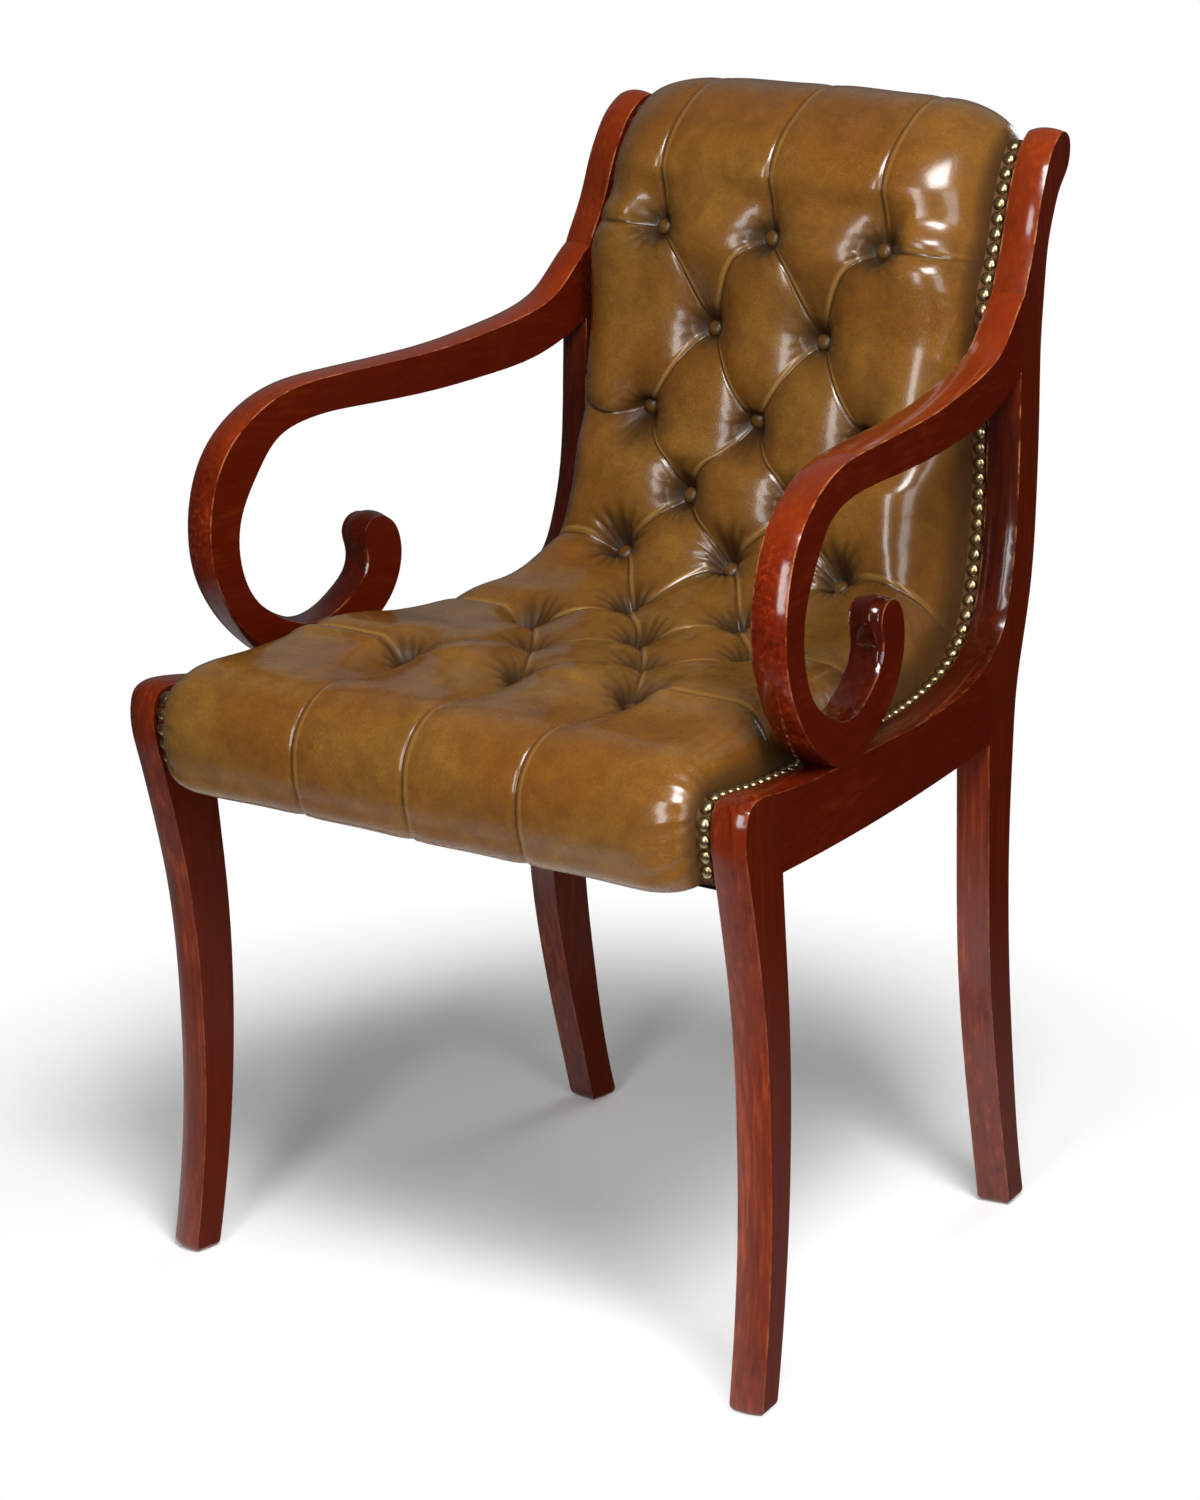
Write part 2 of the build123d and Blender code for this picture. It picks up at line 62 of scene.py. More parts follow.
def add_node(tree, kind, inputs=None, **settings):
    """A shader node with its settings, and a value or a link for each named input."""
    node = tree.nodes.new("ShaderNode" + kind)
    for name, value in settings.items():
        setattr(node, name, value)
    for name, value in (inputs or {}).items():
        if isinstance(value, bpy.types.NodeSocket):
            tree.links.new(value, node.inputs[name])
        else:
            node.inputs[name].default_value = value
    return node


def add_math(tree, operation, first, second=0.5):
    """The result of one math node."""
    return add_node(tree, "Math", {0: first, 1: second}, operation=operation).outputs[0]


def add_mix(tree, share, first, second):
    """A colour between two, by share."""
    return add_node(tree, "Mix", {0: share, 6: first, 7: second}, data_type="RGBA").outputs[2]


def add_tints(tree, colour, tints):
    """A colour with tints laid over it one by one, each given as its mask, share and colour."""
    for mask, share, tint in tints:
        colour = add_mix(tree, add_math(tree, "MULTIPLY", mask, share), colour, tint)
    return colour


def add_band(tree, value, low, high):
    """A value that rises smoothly from 0 at low to 1 at high."""
    inputs = {"Value": value, "From Min": low, "From Max": high}
    return add_node(tree, "MapRange", inputs, interpolation_type="SMOOTHSTEP").outputs["Result"]


def add_range(tree, value, low, high):
    """A value that goes evenly from low to high, as the given one goes from 0 to 1."""
    return add_node(tree, "MapRange", {"Value": value, "To Min": low, "To Max": high}).outputs[0]


def add_noise(tree, place, scale, detail=3.0, roughness=0.5):
    """The value of a noise texture, with scale in cells per metre."""
    inputs = {"Vector": place, "Scale": scale, "Detail": detail, "Roughness": roughness}
    return add_node(tree, "TexNoise", inputs).outputs["Fac"]


def object_place(tree):
    """A point's place in the chair's own frame, in metres."""
    return add_node(tree, "TexCoord").outputs["Object"]


def new_group(name, inputs, outputs):
    """A shader node group, with the sockets of its two end nodes."""
    group = bpy.data.node_groups.new(name, "ShaderNodeTree")
    for socket, (kind, value) in inputs.items():
        made = group.interface.new_socket(socket, in_out="INPUT", socket_type="NodeSocket" + kind)
        made.default_value = value
    for socket, kind in outputs.items():
        group.interface.new_socket(socket, in_out="OUTPUT", socket_type="NodeSocket" + kind)
    return group, group.nodes.new("NodeGroupInput").outputs, group.nodes.new("NodeGroupOutput").inputs


def new_material(name, **settings):
    """A material's node tree and its principled shader, with plain values for its sockets."""
    material = bpy.data.materials.new(name)
    material.use_nodes = True
    shader = material.node_tree.nodes["Principled BSDF"]
    for socket, value in settings.items():
        shader.inputs[socket.replace("_", " ")].default_value = value
    return material, material.node_tree, shader.inputs


def add_bump(tree, height, distance, strength=1.0):
    """The normal of a surface with that height, of that depth in metres."""
    inputs = {"Height": height, "Distance": distance, "Strength": strength}
    return add_node(tree, "Bump", inputs).outputs["Normal"]


def dress(names, material):
    """Gives CAD nodes a material."""
    for name in names:
        nodes[name].data.materials.clear()
        nodes[name].data.materials.append(material)


def pair(*names):
    """The names of the left and right nodes of each pair."""
    return [name + side for name in names for side in ("_left", "_right")]


FIGURE_SHARE = 0.45             # share of the broad figure in the grain, beside its streaks
timber, into, out = new_group("timber_figure", {
    "Stretch": ("Vector", (1, 1, 0.08)), "Dark": ("Color", (0, 0, 0, 1)),
    "Middle": ("Color", (0, 0, 0, 1)), "Light": ("Color", (0, 0, 0, 1)), "Pores": ("Float", 0.5),
}, {"Color": "Color", "Roughness": "Float", "Height": "Float"})
along = add_node(timber, "VectorMath", {0: object_place(timber), 1: into["Stretch"]}, operation="MULTIPLY")
figure = add_noise(timber, along.outputs[0], 30, 4, 0.55)
streak = add_noise(timber, along.outputs[0], 240, 4, 0.6)
pores = add_noise(timber, along.outputs[0], 900, 2, 0.5)
broad = add_math(timber, "MULTIPLY", figure, FIGURE_SHARE)
narrow = add_math(timber, "MULTIPLY", streak, 1 - FIGURE_SHARE)
blended = add_math(timber, "ADD", broad, narrow)
shade = add_mix(timber, add_band(timber, blended, 0.32, 0.50), into["Dark"], into["Middle"])
shade = add_mix(timber, add_band(timber, blended, 0.50, 0.70), shade, into["Light"])
pore_mask = add_math(timber, "MULTIPLY", add_band(timber, pores, 0.56, 0.68), into["Pores"])
timber.links.new(add_mix(timber, pore_mask, shade, into["Dark"]), out["Color"])
timber.links.new(add_range(timber, streak, 0.22, 0.38), out["Roughness"])
timber.links.new(add_math(timber, "SUBTRACT", 1.0, pore_mask), out["Height"])

# Depth of a point below the outer face of its frame, which gives the two arrises
arrises, into, out = new_group(
    "arris_wear_and_painted_light", {"Width": ("Float", 2 * MM)},
    {"Wear": "Float", "Crown": "Float", "Lit_And_Rubbed_Top": "Float", "Scroll_Shade": "Float"})
spot = add_node(arrises, "SeparateXYZ", {0: object_place(arrises)}).outputs
across = add_math(arrises, "MULTIPLY", add_math(arrises, "ABSOLUTE", spot["X"]), math.cos(TOE_IN))
across = add_math(arrises, "ADD", across, add_math(arrises, "MULTIPLY", spot["Y"], math.sin(TOE_IN)))
outer_face = FRAME_HALF * math.cos(TOE_IN) + DATUM_Y * math.sin(TOE_IN)
depth = add_math(arrises, "SUBTRACT", outer_face, across)
from_arris = add_math(arrises, "MINIMUM", depth, add_math(arrises, "SUBTRACT", BOARD, depth))
facing = add_node(arrises, "SeparateXYZ", {0: add_node(arrises, "NewGeometry").outputs["Normal"]}).outputs
sideways = add_math(arrises, "ABSOLUTE", facing["X"])
crown = add_math(arrises, "SUBTRACT", 1.0, add_band(arrises, sideways, 0.75, 0.93))
rubbed = add_band(arrises, add_noise(arrises, object_place(arrises), 55, 5, 0.65), 0.42, 0.62)
close = add_math(arrises, "SUBTRACT", 1.0, add_band(arrises, from_arris, 0.0, into["Width"]))
on_board = add_band(arrises, from_arris, -1.5 * MM, -0.5 * MM)
wear = add_math(arrises, "MULTIPLY", add_math(arrises, "MULTIPLY", close, rubbed), on_board)
wear = add_math(arrises, "MULTIPLY", wear, crown)
arrises.links.new(crown, out["Crown"])

# Painted highlight on the crowns that face up at the arms and uprights, where the light from
# above falls, along with rubbing by hands; painted shade on the crowns behind the scrolls and
# along the nails, between the rails and the arms
RAIL_TO_ARM = (0.44, 0.62)      # from the side rails up to the arms, in metres
UP_TO_ARM = (0.60, 0.67)
OVER_ARM = (0.62, 0.72)
OVER_RAIL = (0.44, 0.47)
BEHIND_SCROLL = (-0.195, -0.150)
above_seat = add_band(arrises, spot["Z"], *RAIL_TO_ARM)
at_arms = add_band(arrises, spot["Z"], *UP_TO_ARM)
upper_side = add_band(arrises, facing["Z"], 0.0, 0.9)
# Painted highlight on faces that look up, at the arms, along with rubbing by hands
lit_and_rubbed = add_math(arrises, "MULTIPLY", at_arms, upper_side)
# Painted shade on the crowns behind the scrolls, from the rails up to the arms
behind_front = add_band(arrises, spot["Y"], *BEHIND_SCROLL)
below_arms = add_math(arrises, "SUBTRACT", 1.0, add_band(arrises, spot["Z"], *OVER_ARM))
shade_zone = add_math(arrises, "MULTIPLY", behind_front, below_arms)
shade_zone = add_math(arrises, "MULTIPLY", shade_zone, add_band(arrises, spot["Z"], *OVER_RAIL))
arrises.links.new(add_math(arrises, "MULTIPLY", crown, shade_zone), out["Scroll_Shade"])
arrises.links.new(add_math(arrises, "MULTIPLY", crown, lit_and_rubbed), out["Lit_And_Rubbed_Top"])
reached = add_range(arrises, above_seat, 0.3, 1.0)
arrises.links.new(add_math(arrises, "MULTIPLY", wear, reached), out["Wear"])

FLAT_PAINTED_SHADE = 0.8                # how far the flat sides of a board go to its darkest colour, as painted shade
# Colour of the painted shade behind the scrolls
SCROLL_SHADE_COLOUR = (0.018, 0.0022, 0.0007, 1)
BARE_ARRIS = (0.55, 0.21, 0.07, 1)


def mahogany(name, stretch, dark, middle, light):
    """Polished mahogany with its grain along one way, rubbed arrises, painted shade on the flat sides and
    behind the scrolls, and a painted highlight on the tops by the arms.
    """
    material, tree, shader = new_material(name, Coat_Roughness=0.13, Specular_IOR_Level=0.0)
    wood = add_node(tree, "Group", {
        "Stretch": stretch, "Dark": dark, "Middle": middle, "Light": light, "Pores": 0.12,
    }, node_tree=timber).outputs
    wear_and_light = add_node(tree, "Group", {"Width": 1.8 * MM}, node_tree=arrises).outputs
    # The flat sides take painted shade, and the crowns keep the grain's own colour
    flat = add_mix(tree, FLAT_PAINTED_SHADE, wood["Color"], dark)
    shaded_sides = add_mix(tree, wear_and_light["Crown"], flat, wood["Color"])
    # Painted highlight on the lit tops, painted shade behind the scrolls, then the pale rubbed arrises
    colour = add_tints(tree, shaded_sides, [
        (wear_and_light["Lit_And_Rubbed_Top"], 0.6, light), (wear_and_light["Scroll_Shade"], 0.72, SCROLL_SHADE_COLOUR), (wear_and_light["Wear"], 0.7, BARE_ARRIS)])
    tree.links.new(colour, shader["Base Color"])
    tree.links.new(add_range(tree, wear_and_light["Crown"], 0.14, 1.0), shader["Coat Weight"])
    tree.links.new(wood["Roughness"], shader["Roughness"])
    tree.links.new(add_bump(tree, wood["Height"], 0.05 * MM), shader["Normal"])
    return material


upright_wood = mahogany(
    "mahogany_upright", (1, 1, 0.08),
    (0.056, 0.0056, 0.0011, 1), (0.118, 0.0130, 0.0022, 1), (0.250, 0.0360, 0.0052, 1))
level_wood = mahogany(
    "mahogany_level", (1, 0.08, 1),
    (0.052, 0.0043, 0.0008, 1), (0.110, 0.0088, 0.0014, 1), (0.240, 0.0310, 0.0042, 1))
cross_wood = mahogany(
    "mahogany_cross", (0.08, 1, 1),
    (0.052, 0.0048, 0.0010, 1), (0.112, 0.0110, 0.0018, 1), (0.225, 0.0300, 0.0042, 1))
dress(pair("front_leg", "rear_leg"), upright_wood)
dress(pair("side_rail", "arm"), level_wood)
dress(["rear_seat_rail"], cross_wood)


# Inner frame: beech liners, cross rails, glue blocks and dowels, planed and left bare, which
# carry the upholstery out of sight. The liners are stained, since their ends show under the
# last nails, and plated screws hold the glue blocks.


def planed_beech(name, stretch, dark, middle, light):
    """Planed beech with no polish, its grain along one way."""
    material, tree, shader = new_material(name, Specular_IOR_Level=0.3)
    wood = add_node(tree, "Group", {
        "Stretch": stretch, "Dark": dark, "Middle": middle, "Light": light, "Pores": 0.4,
    }, node_tree=timber).outputs
    tree.links.new(wood["Color"], shader["Base Color"])
    tree.links.new(add_range(tree, wood["Roughness"], 0.55, 0.8), shader["Roughness"])
    tree.links.new(add_bump(tree, wood["Height"], 0.1 * MM), shader["Normal"])
    return material


bare_beech = planed_beech(
    "bare_beech", (0.07, 1, 1), (0.38, 0.24, 0.13, 1), (0.52, 0.35, 0.20, 1), (0.62, 0.45, 0.28, 1))
stained_beech = planed_beech(
    "stained_beech", (1, 0.07, 1),
    (0.030, 0.008, 0.003, 1), (0.045, 0.012, 0.004, 1), (0.07, 0.02, 0.006, 1))
dress(pair("seat_liner", "back_liner"), stained_beech)
dress(pair("front_corner_block", "rear_corner_block", "frame_dowels", "rail_dowels"), bare_beech)
dress(["front_seat_rail", "lower_back_rail", "crest_rail"], bare_beech)

plated, tree, shader = new_material("plated_steel", Metallic=1.0)
stain = add_noise(tree, object_place(tree), 420, 4)
tree.links.new(add_mix(tree, stain, (0.42, 0.41, 0.38, 1), (0.66, 0.65, 0.62, 1)), shader["Base Color"])
tree.links.new(add_range(tree, stain, 0.25, 0.5), shader["Roughness"])
dress(["corner_screws"], plated)


# Webbing: jute straps, tacked across the seat rails both ways and up behind the back rails.
# Their plain weave is coarse, and darker between the threads.


def plain_weave(tree, scale, distortion):
    """The height of a weave with its threads along x and y, scale to the metre."""
    inputs = {"Vector": object_place(tree), "Scale": scale, "Distortion": distortion}
    weft, warp = (add_node(tree, "TexWave", inputs, bands_direction=way).outputs["Fac"] for way in "YX")
    return add_math(tree, "MULTIPLY", weft, warp)


jute, tree, shader = new_material("jute_webbing", Specular_IOR_Level=0.15, Roughness=0.9)
weave = plain_weave(tree, 260.0, 1.5)
tree.links.new(add_mix(tree, weave, (0.22, 0.15, 0.08, 1), (0.50, 0.38, 0.23, 1)), shader["Base Color"])
tree.links.new(add_bump(tree, weave, 0.4 * MM), shader["Normal"])
dress(["seat_webbing_long", "seat_webbing_cross", "back_webbing"], jute)


# Buttoned leather: one hide drawn over the seat and back and held down by rows of buttons,
# three and two by turns. Folded pleats run from button to button, out to the sides, and over
# the front and top rolls. Its edges lie on the liners, under the nails.

# Arris of the show wood in a side frame, from the knee to the top scroll: a towards the back
# from the datum line and z up, in millimetres. The liners' ledges lie just inside it.
SHOW_LINE = [
    (-233, 387), (-239, 412), (-245, 440), (-244.5, 456), (-240, 467), (-231, 471.5), (-218, 472),
    (-190, 468), (-150, 463.5), (-125, 461.5), (-46, 459), (20, 456), (62, 455), (105, 457),
    (140, 461.5), (170, 470.5), (188, 481), (203, 497), (213, 520), (221.5, 552), (227, 600),
    (229, 640), (230, 690), (233, 741), (246, 768), (256, 790), (265, 815), (274, 833),
    (284, 848), (296, 858), (309, 862.5), (319.5, 856.5),
]
LEDGE = 4                       # the ledges lie this far inside the arris
LINER_FACE = 42                 # depth of the liners' inner faces, from the outer face
HIDE_EDGE = 29.5                # depth of the hide's own edge
PAD_EDGE = 40.5                 # depth where the pad starts to rise
HIDE = 1.2                      # thickness of the hide on the ledge

# Stations along the hide: the point of the ledge behind each one and its face (y, z) there.
# Rows are given at button depth, and rolls at their pleats.
UNDER_FRONT = [((-214, 409), (-214, 406)), ((-229, 409.5), (-236, 401))]
FRONT_ROLL = [
    (1, (-253, 405)), (2, (-262, 425)), (3, (-264, 450)), (4, (-255, 474)), (5, (-240, 487)),
    (7, (-186, 494)),
]
ROWS = [
    (9, (-125, 485)), (10, (-45, 476)), (11, (23, 475)), (13, (89, 482)), (16, (152, 516)),
    (19, (172, 567)), (21, (192, 630)), (22, (209, 697)), (24, (214, 773)),
]
TOP_ROLL = [
    (25, (210, 802)), (26, (213, 825)), (27, (226, 846)), (28, (252, 866)), (29, (286, 876)),
]
BEHIND_TOP = [((302, 848), (317, 869)), ((306, 839), (332, 847)), ((304, 830), (330, 829))]

BUTTON_SPACING = 105
PUFF = 26                       # rise of a pillow over its buttons
ROLL_PUFF = 6                   # rise between the pleats of a roll
PLEAT_LIFT = 0.62               # share of the puff that a pleat keeps half way along
FUNNEL = 0.80                   # how steeply the hide dives to a button
PILLOW = 0.75                   # how steeply a pillow rises from its pleat
BUTTON_SEAT = 3.0               # radius that lies flat under a button
BUTTON_HOLLOW = 14              # width of the hollow round it
ROLL_CREASE = 0.4
SIDE_CREASE = 0.32
SHOULDER = 42                   # width over which the seat's sides round down to the ledge
BACK_SHOULDER = 50              # the same up the back
TOP_SHOULDER = 66               # and over the top roll
TOP_CROWN = 3                   # rise of the top roll's middle over its ends
LIP = 0.7                       # height of a pleat's folded lip
FOLD_RISE = 1.2                 # widths over which a lip rises and falls
FOLD_FALL = 1.6
LINE_WIDE = 0.9                 # width of the painted highlight and painted shade lines along it
LIP_WIDE = 2.4
ROLL_LIP_WIDE = 4.6
CREASE_DEPTH = 0.7              # depth of the crease beside a lip
SIDE_RUN = 34                   # from the outer buttons to where only the side creases are left
GATHER_COUNT = 13               # gathers round a button, at this radius and width
GATHER_RADIUS = 17
GATHER_WIDE = 9
SEAT_GATHER = 0.6               # their height on the seat, and on the back from its first row
BACK_GATHER = 0.2
BACK_ROW = 5
FUNNEL_SHADE_REACH = 19               # radius of the painted shade in a funnel
SLACK = 0.7                     # height of the soft waves all over
EDGE_SHADE = 7                  # width of the darkening along the nails, part painted shade where the hide rounds down and part old finish
STEPS = 36                      # mesh steps from row to row, and from button to half way
SIDE_STEPS = 60
PLEAT_SIDE = 12                 # strip beside the outer buttons with the same fine columns


def through(points, at):
    """Points on a smooth curve through the given ones, at places counted in points."""
    points = np.asarray(points, float)
    last = len(points) - 1
    i = np.clip(np.floor(at).astype(int), 0, last - 1)
    share = (at - i)[:, None]
    p, q, r, t = (points[np.clip(i + k, 0, last)] for k in (-1, 0, 1, 2))
    return q + share / 2 * (r - p + share * (2 * p - 5 * q + 4 * r - t + share * (3 * q - p - 3 * r + t)))


def smooth(value):
    """A smooth rise from 0 to 1."""
    value = np.clip(value, 0, 1)
    return value * value * (3 - 2 * value)


def to_y(a, depth):
    """The y of a point of a side frame, in millimetres from the datum line."""
    return a * math.cos(TOE_IN) - depth * math.sin(TOE_IN)


def half_width(y, depth):
    """Half the space between the frames at y, at that depth inside their outer faces."""
    return FRAME_HALF / MM - depth / math.cos(TOE_IN) - y * math.tan(TOE_IN)


show_line = np.array(SHOW_LINE, float)
run = np.gradient(show_line, axis=0)
run /= np.linalg.norm(run, axis=1)[:, None]
inward = np.column_stack([run[:, 1], -run[:, 0]])
ledge = show_line + LEDGE * inward
inner_points = [inner for inner, face in UNDER_FRONT]
inner_points += [(to_y(a, LINER_FACE), z) for a, z in ledge[1:30]]
inner_points += [inner for inner, face in BEHIND_TOP]
ledge_start = len(UNDER_FRONT) - 1
stations = [(i, face) for i, (inner, face) in enumerate(UNDER_FRONT)]
stations += [(point + ledge_start, face) for point, face in FRONT_ROLL + ROWS + TOP_ROLL]
stations += [(len(inner_points) - len(BEHIND_TOP) + i, face) for i, (inner, face) in enumerate(BEHIND_TOP)]
first_row = len(UNDER_FRONT) + len(FRONT_ROLL)
last_row = first_row + len(ROWS) - 1

# Height of the hide over the ledge line at each station: at the pleats and between them
station_point = np.array([point for point, face in stations], float)
station_face = np.array([face for point, face in stations], float)
station_inner = through(inner_points, station_point)
station_out = station_face - station_inner
station_depth = np.linalg.norm(station_out, axis=1)
in_rows = (np.arange(len(stations)) >= first_row) & (np.arange(len(stations)) <= last_row)
rise = np.where(in_rows, PUFF, ROLL_PUFF + 2)
rise[:len(UNDER_FRONT)] = 1
low_line = station_depth - np.where(in_rows, 0, 2)
for station, deeper in ((first_row - 1, 6), (last_row + 1, 11), (last_row + 2, 5)):
    rise[station] += deeper
    low_line[station] -= deeper

# Places along the hide, in stations: even steps between rows and about 2.5 mm on the rolls
places = []
for i in range(len(stations) - 1):
    length = np.linalg.norm(station_face[i + 1] - station_face[i])
    count = STEPS if first_row <= i < last_row else max(2, round(length / 2.5))
    places += list(i + np.arange(count) / count)
places = np.array(places + [len(stations) - 1.0])
inner = through(inner_points, through(station_point[:, None], places)[:, 0])
outward = through(station_out / station_depth[:, None], places)
outward /= np.linalg.norm(outward, axis=1)[:, None]
low = through(low_line[:, None], places)[:, 0]
rise = through(rise[:, None].astype(float), places)[:, 0]
row = np.clip(places - first_row, 0, len(ROWS) - 1)
beyond = np.maximum(first_row - places, places - last_row)

# Columns across: even ones between the outer buttons, closer ones down the rounded sides,
# and a few on the strip under the nails
half = half_width(inner[:, 0], PAD_EDGE)
middle_columns = np.linspace(-BUTTON_SPACING, BUTTON_SPACING, 4 * STEPS + 1)
pleat_columns = np.tile(BUTTON_SPACING + np.linspace(0, PLEAT_SIDE, 9)[1:], (len(places), 1))
side_share = np.sin(np.linspace(0, 1, SIDE_STEPS + 1)[1:] * math.pi / 2)
strip_share = np.linspace(0, 1, 5)[1:]
side_start = BUTTON_SPACING + PLEAT_SIDE
side = np.hstack([pleat_columns, side_start + (half[:, None] - side_start) * side_share])
strip_wide = (PAD_EDGE - HIDE_EDGE) / math.cos(TOE_IN)
strip = half[:, None] + strip_wide * strip_share
x = np.hstack([
    -strip[:, ::-1], -side[:, ::-1], np.tile(middle_columns, (len(places), 1)), side, strip])
out_x = np.abs(x)

# Pillows between the pleats, and the shallow creases of the rolls and the sides
sigma = np.tile(row[:, None], (1, x.shape[1]))
inside_x = np.clip(x, -BUTTON_SPACING, BUTTON_SPACING)
u = inside_x / BUTTON_SPACING + sigma / 2
v = inside_x / BUTTON_SPACING - sigma / 2
wave_u = np.abs(np.sin(math.pi * u))
wave_v = np.abs(np.sin(math.pi * v))
pillow = PLEAT_LIFT * (wave_u ** FUNNEL + wave_v ** FUNNEL - (wave_u * wave_v) ** FUNNEL)
pillow += (1 - PLEAT_LIFT) * (wave_u * wave_v) ** PILLOW
face_line = inner + outward * (low + rise)[:, None]
travel = np.concatenate([[0], np.cumsum(np.linalg.norm(np.diff(face_line, axis=0), axis=1))])
row_travel = np.interp(first_row + np.arange(len(ROWS)), places, travel)
from_button = np.full(x.shape, 1e3)
buttons_at = []
for index, row_at in enumerate(row_travel):
    three = (-BUTTON_SPACING, 0, BUTTON_SPACING)
    two = (-BUTTON_SPACING / 2, BUTTON_SPACING / 2)
    columns = three if index % 2 == 0 else two
    buttons_at += [(index, button_x, row_at) for button_x in columns]
for index, button_x, row_at in buttons_at:
    from_button = np.minimum(from_button, np.hypot(x - button_x, travel[:, None] - row_at))
from_side_pleat = travel[:, None] - row_travel[::2]
nearest = np.argmin(np.abs(from_side_pleat), axis=1)
from_side_pleat = from_side_pleat[np.arange(len(places)), nearest][:, None]
side_form = 1 - SIDE_CREASE * np.exp(-np.abs(from_side_pleat) / 6)
to_side = smooth((out_x - BUTTON_SPACING) / SIDE_RUN)
pillow = pillow + (side_form - pillow) * to_side
from_roll_pleat = inside_x - BUTTON_SPACING * np.round(inside_x / BUTTON_SPACING)
from_roll_pleat = np.where(out_x > BUTTON_SPACING, x - inside_x, from_roll_pleat)
roll_form = 1 - ROLL_CREASE * np.exp(-np.abs(from_roll_pleat) / 5)
to_roll = smooth(beyond / 2)[:, None]
pillow = pillow + (roll_form - pillow) * to_roll
pillow *= smooth((from_button - BUTTON_SEAT) / BUTTON_HOLLOW) ** 0.6

# Folded lips: the upper side of each pleat overlaps the lower in a thin rounded edge
row_length = np.interp(travel, (row_travel[1:] + row_travel[:-1]) / 2, np.diff(row_travel))[:, None]
pleat_slope = np.hypot(1 / BUTTON_SPACING, 1 / (2 * row_length))
from_u = (u - np.round(u)) / pleat_slope
from_v = -(v - np.round(v)) / pleat_slope
in_middle = (out_x <= BUTTON_SPACING) * (1 - to_roll)
on_side = to_side * (1 - to_roll)
# Thin lines of painted highlight along both edges of each lip, and painted shade in the crease beside it
fold_highlights = np.zeros_like(x)
creases = np.zeros_like(x)
folds = np.zeros_like(x)
for distance, strength, wide in (
    (from_u, in_middle * smooth(wave_v * 1.6 - 0.2), LIP_WIDE),
    (from_v, in_middle * smooth(wave_u * 1.6 - 0.2), LIP_WIDE),
    (from_side_pleat, on_side, LIP_WIDE), (from_roll_pleat, smooth(beyond)[:, None], ROLL_LIP_WIDE),
):
    fold = smooth(distance / FOLD_RISE) * (1 - smooth((distance - wide) / FOLD_FALL))
    folds = np.maximum(folds, strength * fold)
    edges = np.exp(-((distance - FOLD_RISE) / LINE_WIDE) ** 2)
    edges = edges + 0.8 * np.exp(-((distance - wide - 0.4) / LINE_WIDE) ** 2)
    fold_highlights = np.maximum(fold_highlights, strength * np.clip(edges, 0, 1))
    creases = np.maximum(creases, strength * np.exp(-((distance + 0.2) / LINE_WIDE) ** 2))

# Gathers that fan out from each button, and puckers along the nailed edges
gathers = np.zeros_like(x)
for number, (index, button_x, row_at) in enumerate(buttons_at):
    along = travel[:, None] - row_at
    across = x - button_x
    reach = np.hypot(across, along)
    angle = np.arctan2(along, across)
    turn = GATHER_COUNT * angle + 1.7 * np.sin(3 * angle + index) + 2.1 * number
    strength = SEAT_GATHER if index < BACK_ROW else BACK_GATHER
    gathers += strength * np.sin(turn) * np.exp(-((reach - GATHER_RADIUS) / GATHER_WIDE) ** 2)
# The troughs of the gathers join the creases' painted shade, and their crests the lips' painted highlight
creases = np.maximum(creases, 0.55 * np.clip(-gathers, 0, 1) * (1 - to_roll))
fold_highlights = np.maximum(fold_highlights, 0.4 * np.clip(gathers, 0, 1) * (1 - to_roll))
# Painted shade down the funnel round each button
funnel_shading = np.exp(-(from_button / FUNNEL_SHADE_REACH) ** 2)
edge_distance = half[:, None] - out_x
at_front = smooth((first_row - 1 - places) / 2)[:, None]
pucker = np.exp(-np.clip(edge_distance - 4, 0, None) / (9 + 7 * at_front)) * (edge_distance > 0)
uneven = 0.65 + 0.35 * np.sin(travel[:, None] / 7.3 + x / 40)
ripple = np.sin(travel[:, None] / 2.3 + 2 * np.sin(travel[:, None] / 31) + edge_distance / 16)
calm = 1 - smooth((places - last_row - 1) / 1.5)[:, None]
pucker = (0.7 + 1.1 * at_front) * pucker * uneven * ripple * calm
slack = SLACK * np.sin(x / 23 + travel[:, None] / 37) * np.sin(travel[:, None] / 29 - x / 51)

height = low[:, None] + rise[:, None] * pillow + slack
height += gathers * (1 - to_roll) + LIP * folds - CREASE_DEPTH * creases
over_top = smooth(places - last_row)[:, None]
height += TOP_CROWN * over_top * (1 - (x / half[:, None]) ** 2)
up_back = smooth((row - 3.5) / 2)[:, None]
rounded = SHOULDER + (BACK_SHOULDER - SHOULDER) * up_back + (TOP_SHOULDER - BACK_SHOULDER) * over_top
shoulder = np.clip(1 - edge_distance / rounded, 0, 1)
rounding = np.clip(1 - shoulder ** (2.2 - 0.1 * over_top), 0, 1) ** 0.53
height = HIDE + (height - HIDE) * rounding + pucker * rounding
height = np.where(edge_distance < 0, HIDE, height)
toe_shift = np.clip(-edge_distance, 0, None) * math.sin(TOE_IN)
y = inner[:, 0][:, None] + outward[:, 0][:, None] * height + toe_shift
z = inner[:, 1][:, None] + outward[:, 1][:, None] * height


def new_piece(name, points, faces):
    """A smooth-shaded piece of the scene."""
    mesh = bpy.data.meshes.new(name)
    mesh.from_pydata(points, [], faces)
    mesh.shade_smooth()
    piece = bpy.data.objects.new(name, mesh)
    bpy.context.scene.collection.objects.link(piece)
    return piece


